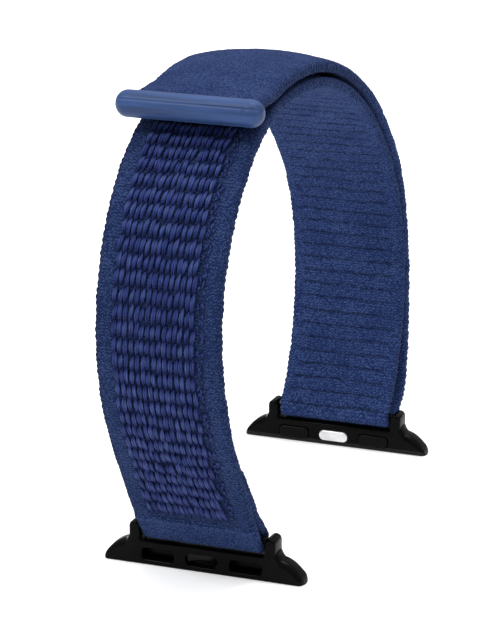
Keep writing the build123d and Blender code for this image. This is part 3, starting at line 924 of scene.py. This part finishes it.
def wing(name, side, wrist_y, out):
    """Boat-shaped end of the lug, swept along X from round-cornered sections."""
    tip = LUG_L / 2
    verts = []
    corner = 7
    for i in range(WING_STEPS + 1):
        part = i / WING_STEPS
        x = WING_IN + (tip - WING_IN) * (1 - (1 - part) ** 1.7)
        into = np.clip((x - (tip - TIP_TURN)) / TIP_TURN, 0, 1)
        half_depth = (LUG_D / 2 - WING_INSET) * math.sqrt(max(1 - into**2.2, 0.02))
        height = wing_height(x)
        crown = min(WING_CROWN, half_depth * 0.9, height * 0.6)
        sole = min(WING_SOLE, half_depth * 0.6, height * 0.3)
        corners = (
            (half_depth - crown, height - crown, crown, 0),
            (crown - half_depth, height - crown, crown, 90),
            (sole - half_depth, sole, sole, 180),
            (half_depth - sole, sole, sole, 270),
        )
        for cy, cz, radius, first in corners:
            for step in range(corner + 1):
                angle = math.radians(first + 90 * step / corner)
                y = wrist_y + out * (LUG_D / 2 + cy + radius * math.cos(angle))
                z = cz + radius * math.sin(angle)
                verts.append((side * x * MM, y * MM, z * MM))
    piece = mesh_object(name, verts, tube_faces(0, WING_STEPS + 1, 4 * (corner + 1)))
    outward_faces(piece)
    return piece


def outward_faces(piece):
    """Turns every face of a closed piece outwards."""
    work = bmesh.new()
    work.from_mesh(piece.data)
    bmesh.ops.recalc_face_normals(work, faces=work.faces)
    work.to_mesh(piece.data)
    work.free()


def plate(name, outlines, y_low, y_high, bevel):
    """Flat piece with these outlines (the first outside, the others holes) and rounded edges."""
    curve = bpy.data.curves.new(name, "CURVE")
    curve.dimensions = "2D"
    curve.fill_mode = "BOTH"
    for outline in outlines:
        spline = curve.splines.new("POLY")
        spline.points.add(len(outline) - 1)
        for point, (x, z) in zip(spline.points, outline):
            point.co = (x * MM, z * MM, 0, 1)
        spline.use_cyclic_u = True
    curve.extrude = (y_high - y_low) / 2 * MM - bevel * MM
    curve.bevel_depth = bevel * MM
    curve.bevel_resolution = 3
    curve.offset = -bevel * MM
    holder = in_scene(name + "_curve", curve)
    bpy.context.view_layer.update()
    evaluated = holder.evaluated_get(bpy.context.evaluated_depsgraph_get())
    mesh = bpy.data.meshes.new_from_object(evaluated)
    bpy.data.objects.remove(holder)
    work = bmesh.new()
    work.from_mesh(mesh)
    bmesh.ops.remove_doubles(work, verts=work.verts, dist=0.004 * MM)
    middle = (y_low + y_high) / 2 * MM
    for vert in work.verts:
        x, z, depth = vert.co
        vert.co = (x, middle - depth, z)
    bmesh.ops.recalc_face_normals(work, faces=work.faces)
    work.to_mesh(mesh)
    work.free()
    mesh.name = name
    return in_scene(name, mesh)


def crisp(piece, angle=35):
    """Smooth shading that keeps the corners sharper than this angle."""
    mesh = piece.data
    mesh.polygons.foreach_set("use_smooth", [True] * len(mesh.polygons))
    mesh.set_sharp_from_angle(angle=math.radians(angle))
    mesh.update()


def moved(outline, x, z):
    """The outline shifted by x and z."""
    return [(px + x, pz + z) for px, pz in outline]


def slope_foot(piece, wrist_y, out):
    """Slopes the lowest strip of the wrist side inwards; the slope takes the second material, which is
    painted lighter as a painted highlight.
    """
    deep, high = SKID
    cut = high * MM
    work = bmesh.new()
    work.from_mesh(piece.data)
    geometry = work.verts[:] + work.edges[:] + work.faces[:]
    bmesh.ops.bisect_plane(work, geom=geometry, plane_co=(0, 0, cut), plane_no=(0, 0, 1))
    for vert in work.verts:
        depth = (vert.co.y / MM - wrist_y) * out
        if vert.co.z < cut and depth < SKID_REACH:
            slope = deep * (1 - vert.co.z / cut) * (1 - depth / SKID_REACH)
            vert.co.y += out * slope * MM
    work.to_mesh(piece.data)
    work.free()
    for side in piece.data.polygons:
        depth = (side.center.y / MM - wrist_y) * out
        sloped = side.normal.y * out < -0.5 and side.normal.z < -0.1
        side.material_index = int(sloped and depth < SKID_REACH and side.center.z < cut)


def pill(length, height):
    """Outline of a slot with round ends."""
    return rounded_slot(length, height, height / 2 - 0.01)


def lug_frame(end_name, wrist_y, out, span):
    """The lug's rail, with its three pockets, two ears and two wings."""
    pocket = rounded_slot(POCKET_L, POCKET_H, POCKET_R)
    holes = [
        moved(pocket, -POCKET_PITCH, POCKET_Z),
        moved(pill(POCKET_L, POCKET_H), 0, POCKET_Z),
        moved(pocket, POCKET_PITCH, POCKET_Z),
    ]
    rail = plate(f"{end_name}_lug_body", [rail_outline(), *holes], *span(0, LUG_D), EDGE_ROUND)
    slope_foot(rail, wrist_y, out)
    crisp(rail)
    pieces = [rail]
    for side_name, side in (("left", -1), ("right", 1)):
        ear_span = span(EAR_INSET, LUG_D - EAR_INSET)
        ear = plate(f"{end_name}_ear_{side_name}", [ear_outline(side)], *ear_span, EAR_ROUND)
        crisp(ear, 50)
        tip = wing(f"{end_name}_wing_{side_name}", side, wrist_y, out)
        slope_foot(tip, wrist_y, out)
        crisp(tip, 60)
        pieces += [ear, tip]
    return pieces


def make_lug(end_name, pin_y, out):
    """Frame, pads and button of one lug; out is the sign of Y away from the wrist."""
    wrist_y = pin_y - out * LUG_D / 2
    body = f"{end_name}_lug"

    def span(near, far):
        return sorted((wrist_y + out * near, wrist_y + out * far))

    for piece in lug_frame(end_name, wrist_y, out, span):
        dress(piece, (black_paint, chamfer_highlight_paint), f"{end_name}_lug_frame", body)
    pad = rounded_slot(POCKET_L - PAD_ROOM, POCKET_H - PAD_ROOM, POCKET_R)
    for side_name, x in (("left", -POCKET_PITCH), ("right", POCKET_PITCH)):
        outline = moved(pad, x, POCKET_Z)
        block = plate(f"{end_name}_soft_pad_{side_name}", [outline], *span(*PAD_SPAN), EDGE_ROUND)
        crisp(block)
        dress(block, (black_rubber,), f"{end_name}_pad_{side_name}", body)
    head = moved(pill(POCKET_L - BUTTON_ROOM, POCKET_H - BUTTON_ROOM), 0, POCKET_Z)
    latch = plate(f"{end_name}_latch_button", [head], *span(*BUTTON_SPAN), BUTTON_ROUND)
    crisp(latch)
    dress(latch, (silver,), f"{end_name}_button", f"{end_name}_button")
    finish_node(f"{end_name}_leaf_spring", shaded_spring_steel)


# ---- end tab
def tab_shell(name, from_angle, to_angle, centre):
    """Half of the capsule, revolved about its own axis between two angles in the YZ plane."""
    half = TAB_L / 2
    turns = [math.radians(a) for a in range(0, 91, 6)]
    ends = [
        (half - TAB_END_R * (1 - math.cos(a)), TAB_R - TAB_END_R * (1 - math.sin(a))) for a in turns
    ]
    straight = [(x, TAB_R) for x in np.linspace(half - TAB_END_R, TAB_END_R - half, 90)[1:-1]]
    profile = [(half, 0.02), *ends, *straight, *[(-x, r) for x, r in ends[::-1]], (-half, 0.02)]
    steps = 40
    verts, faces = [], []
    width = len(profile)
    for i in range(steps + 1):
        angle = math.radians(from_angle + (to_angle - from_angle) * i / steps)
        seam = TAB_SEAM if i in (0, steps) else 0
        off_tick = math.degrees(angle) - SEAM_HEADING - TICK_TURN
        for x, radius in profile:
            tick = TICK_DEPTH * groove(x - TICK_X, TICK_W) * groove(off_tick, TICK_SPAN)
            r = max(radius - seam * (radius > 0.1) - tick, 0.01)
            y = centre[0] + r * math.cos(angle)
            z = centre[1] + r * math.sin(angle)
            verts.append(((TAB_SHIFT + x) * MM, y * MM, z * MM))
    for i in range(steps):
        for j in range(width - 1):
            a, b = i * width + j, (i + 1) * width + j
            faces.append((a, b, b + 1, a + 1))
    faces.append(tuple(range(width)))
    faces.append(tuple(steps * width + j for j in range(width - 1, -1, -1)))
    piece = mesh_object(name, verts, faces)
    outward_faces(piece)
    crisp(piece, 50)
    return piece


# ---- building
band = strap_mesh("band_strap", band_mid, band_thick, band_along, 11, band_relief)
band.data.materials.append(woven)
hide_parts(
    "front_leg_webbing", "fixed_wrap", "fixed_tail", "shoulder_webbing", "rear_webbing", "slide_turn"
)

front_pile = pile_mesh("front_loops", PRESS_L + 0.7, CROWN_AT, 21)
front_pile.data.materials.append(yarn)
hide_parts("front_leg_pile", "shoulder_pile")
rear_pile = pile_mesh("rear_loops", CROWN_AT, CROWN_AT + REAR_PILE_L, 22, strands=1, rings=7, sides=5)
rear_pile.data.materials.append(yarn)
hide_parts("rear_pile")
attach(rear_pile, "band")

for piece in (band, front_pile):
    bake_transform(piece)

returning = strap_mesh("return_strap", return_mid, return_thick, return_along, 12, return_relief)
returning.data.materials.append(woven)
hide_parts("return_webbing", "flap_webbing")
hooks = hook_mesh()
hooks.data.materials.append(hook_material())
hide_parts("hook_patch")
for piece in (returning, hooks):
    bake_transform(piece)

cap = tab_shell("tab_upper", SEAM_HEADING - 180, SEAM_HEADING, tab_centre)
base = tab_shell("tab_lower", SEAM_HEADING, SEAM_HEADING + 180, tab_centre)
dress(cap, (tab_plastic,), "tab_cap", "flap")
dress(base, (tab_plastic,), "tab_base", "flap")

make_lug("fixed", fixed_pin[0], -1)
make_lug("slide", slide_bar[0], 1)
finish_node("fixed_cross_pin", steel)
finish_node("slide_bar", steel)

# ---- stage, light and camera
floor_mesh = bpy.data.meshes.new("floor")
floor_corners = [
    (x * FLOOR_REACH, y * FLOOR_REACH, -FLOOR_DOWN) for x, y in ((-1, -1), (1, -1), (1, 1), (-1, 1))
]
floor_mesh.from_pydata(floor_corners, [], [(0, 1, 2, 3)])
floor = in_scene("floor", floor_mesh)
floor_material, _, floor_shader = new_material("floor_white")
floor_shader.inputs["Base Color"].default_value = (0.94, 0.94, 0.94, 1)
floor_shader.inputs["Roughness"].default_value = 0.9
floor_shader.inputs["Specular IOR Level"].default_value = 0.0
floor_shader.inputs["Emission Color"].default_value = (1, 1, 1, 1)
floor_shader.inputs["Emission Strength"].default_value = 0.18
floor_mesh.materials.append(floor_material)

world = bpy.data.worlds.new("studio")
bpy.context.scene.world = world
world.use_nodes = True
background = world.node_tree.nodes["Background"]
sky_at = node(world.node_tree, "ShaderNodeTexCoord")
sky_split = node(world.node_tree, "ShaderNodeSeparateXYZ")
world.node_tree.links.new(sky_at.outputs["Generated"], sky_split.inputs[0])
sky_tones = [(0.0, (0.3,) * 3), (0.3, (0.6,) * 3), (0.8, (1.0,) * 3)]
sky = ramp(world.node_tree, sky_split.outputs["Z"], sky_tones)
world.node_tree.links.new(sky, background.inputs["Color"])
background.inputs["Strength"].default_value = 1.05


def area_light(name, place, size, power):
    """Round light at a place, turned to the part."""
    data = bpy.data.lights.new(name, "AREA")
    data.shape = "DISK"
    data.size = size
    data.energy = power
    lamp = in_scene(name, data)
    lamp.location = place
    lamp.rotation_euler = (Vector(LIT_AT) - Vector(place)).to_track_quat("-Z", "Y").to_euler()


area_light("key", (-0.35, -0.45, 0.75), size=0.3, power=4.0)
area_light("top", (0.1, 0.1, 0.9), size=0.5, power=4.5)

look_at = Vector(LOOK_AT) * MM
level = math.cos(ELEVATION)
forward = Vector((-math.sin(AZIMUTH) * level, math.cos(AZIMUTH) * level, -math.sin(ELEVATION)))
camera_data = bpy.data.cameras.new("camera")
camera_data.lens = LENS
camera_data.sensor_width = 36
camera_data.clip_start = 0.01
camera_data.clip_end = 50
camera = in_scene("camera", camera_data)
camera.location = look_at - forward * DISTANCE * MM
camera.rotation_euler = forward.to_track_quat("-Z", "Y").to_euler()
bpy.context.scene.camera = camera
bpy.context.scene.view_settings.view_transform = "Standard"

bpy.context.view_layer.update()
